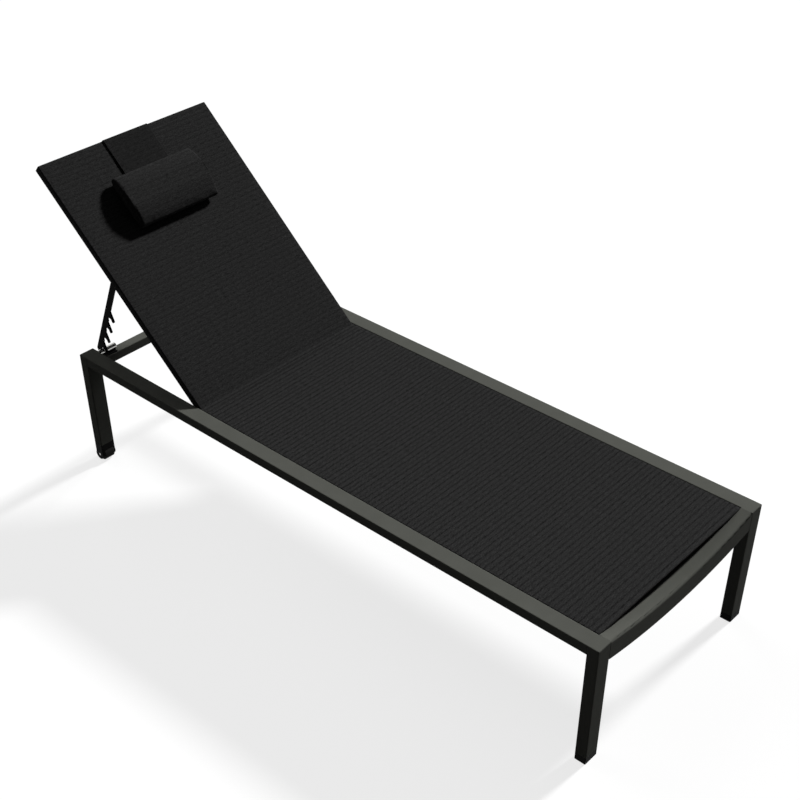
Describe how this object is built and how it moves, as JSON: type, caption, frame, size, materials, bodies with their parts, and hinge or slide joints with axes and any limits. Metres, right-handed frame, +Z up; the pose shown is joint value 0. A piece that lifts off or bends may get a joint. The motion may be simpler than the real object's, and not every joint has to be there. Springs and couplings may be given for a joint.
{
  "type": "reclining sun lounger",
  "caption": "Low dark sun lounger: tube frame on two feet and two wheels, ribbed sling seat, notched reclining backrest and sliding strap-over headrest pillow.",
  "frame": {"origin": "on the floor, under the middle of the whole lounger's length and width at the rest pose", "axes": "+X towards the foot end, +Y towards the left side of a person lying on it on their back with the feet at +X, +Z up"},
  "size_m": [1.827, 0.65, 0.8382],
  "materials": {
    "frame_metal": "matte dark warm grey powder coat over aluminium",
    "prop_metal": "black painted steel plate, satin",
    "plain_steel": "bare zinc-bright steel",
    "black_plastic": "matte black moulded plastic",
    "wheel_rubber": "matte black rubber",
    "sling_cloth": "open coated mesh cloth with fine ribs across the width",
    "pillow_cloth": "the same ribbed mesh cloth over soft filling",
    "strap_cloth": "black woven strap cloth"
  },
  "bodies": {
    "base": {"catch_bracket_left": "black_plastic", "catch_bracket_right": "black_plastic", "catch_pins": "plain_steel", "corner_blocks_foot": "black_plastic", "corner_blocks_head": "black_plastic", "foot_caps": "black_plastic", "foot_rail": "frame_metal", "frame_screws": "plain_steel", "head_rail": "frame_metal", "hinge_bolts": "plain_steel", "hinge_nuts": "plain_steel", "hinge_spacers": "black_plastic", "leg_foot_left": "frame_metal", "leg_foot_right": "frame_metal", "leg_head_left": "frame_metal", "leg_head_right": "frame_metal", "leg_top_caps": "black_plastic", "seat_sling": "sling_cloth", "seat_splines": "black_plastic", "seat_spreader_1": "frame_metal", "seat_spreader_2": "frame_metal", "seat_spreader_3": "frame_metal", "side_rail_left": "frame_metal", "side_rail_right": "frame_metal", "spreader_plugs": "black_plastic", "wheel_axles": "plain_steel", "wheel_housing_left": "black_plastic", "wheel_housing_right": "black_plastic"},
    "backrest": {"back_side_tube_left": "frame_metal", "back_side_tube_right": "frame_metal", "back_top_tube": "frame_metal", "back_bottom_tube": "frame_metal", "back_mid_tube": "frame_metal", "back_sling": "sling_cloth", "back_hinge_ends": "black_plastic", "hinge_bushes": "black_plastic", "prop_pivot_bolts": "plain_steel", "prop_pivot_nuts": "plain_steel", "prop_spacers": "black_plastic", "rest_buffers": "wheel_rubber", "headrest_strap_loop": "strap_cloth"},
    "props": {"prop_rack_left": "prop_metal", "prop_rack_right": "prop_metal", "prop_cross_tube": "prop_metal", "cross_tube_ends": "prop_metal", "prop_bushes": "black_plastic"},
    "headrest": {"headrest_pillow": "pillow_cloth", "headrest_flap": "strap_cloth"},
    "counterweight": {"counterweight_strap": "strap_cloth", "counterweight_pouch": "strap_cloth", "counterweight_bar": "plain_steel"},
    "left_wheel": {"wheel_left": "wheel_rubber"},
    "right_wheel": {"wheel_right": "wheel_rubber"}
  },
  "joints": [
    {"name": "backrest_recline", "type": "hinge", "parent": "base", "child": "backrest", "pos_m": [-0.35352, 0, 0.332], "axis": [0, -1, 0], "range_deg": [0, 39]},
    {"name": "prop_swing", "type": "hinge", "parent": "backrest", "child": "props", "pos_m": [-0.66208, 0, 0.60982], "axis": [0, 1, 0], "range_deg": [0, 103]},
    {"name": "headrest_slide", "type": "slide", "parent": "backrest", "child": "headrest", "axis": [-0.7431, 0, 0.6691], "range_m": [-0.06, 0.025]},
    {"name": "counterweight_slide", "type": "slide", "parent": "backrest", "child": "counterweight", "axis": [-0.7431, 0, 0.6691], "range_m": [-0.025, 0.06]},
    {"name": "wheel_left_spin", "type": "hinge", "parent": "base", "child": "left_wheel", "pos_m": [-0.77153, 0.303, 0.02], "axis": [0, 1, 0], "continuous": true},
    {"name": "wheel_right_spin", "type": "hinge", "parent": "base", "child": "right_wheel", "pos_m": [-0.77153, -0.303, 0.02], "axis": [0, 1, 0], "continuous": true}
  ],
  "couplings": [
    {"joint": "prop_swing", "follows": "backrest_recline", "ratio": 2.641},
    {"joint": "counterweight_slide", "follows": "headrest_slide", "ratio": -1}
  ]
}
